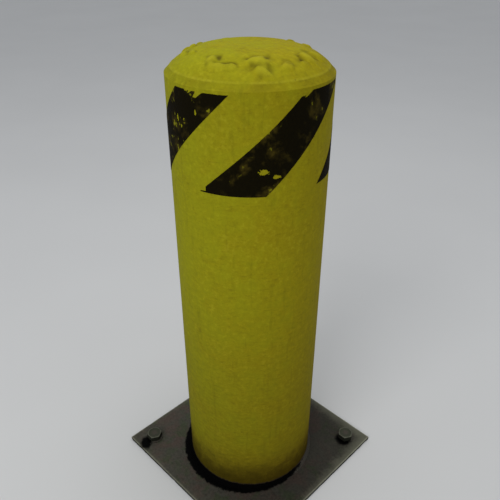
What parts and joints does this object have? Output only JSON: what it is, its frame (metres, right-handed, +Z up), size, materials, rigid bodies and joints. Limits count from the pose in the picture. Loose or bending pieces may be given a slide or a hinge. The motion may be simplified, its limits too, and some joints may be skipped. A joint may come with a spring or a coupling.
{
  "type": "safety bollard",
  "caption": "Fixed steel safety bollard: round domed post on a square bolt-down base plate, safety yellow with sloping black hazard stripes.",
  "frame": {"origin": "centre of the base plate's underside, which is the level of the ground", "axes": "+Z up along the post's axis; X and Y along the edges of the square base plate; the anchor sockets reach down to negative Z"},
  "size_m": [0.4, 0.4, 1.0315],
  "materials": {
    "safety_yellow": "satin",
    "hazard_black": "matte",
    "weathered_plate": "matte",
    "weld_metal": "matte",
    "bolt_steel": "matte",
    "mill_steel": "matte",
    "plated_socket": "satin",
    "concrete": "matte"
  },
  "bodies": {
    "root": {"base_plate": "weathered_plate", "post_tube": "safety_yellow", "base_weld": "weld_metal", "backing_ring": "mill_steel", "dome_cap": "safety_yellow", "cap_weld": "safety_yellow", "concrete_core": "concrete", "stripe_1": "hazard_black", "stripe_2": "hazard_black", "stripe_3": "hazard_black", "stripe_4": "hazard_black", "anchor_bolt_1": "bolt_steel", "anchor_bolt_2": "bolt_steel", "anchor_bolt_3": "bolt_steel", "anchor_bolt_4": "bolt_steel", "anchor_washer_1": "bolt_steel", "anchor_washer_2": "bolt_steel", "anchor_washer_3": "bolt_steel", "anchor_washer_4": "bolt_steel", "anchor_socket_1": "plated_socket", "anchor_socket_2": "plated_socket", "anchor_socket_3": "plated_socket", "anchor_socket_4": "plated_socket"}
  },
  "joints": []
}
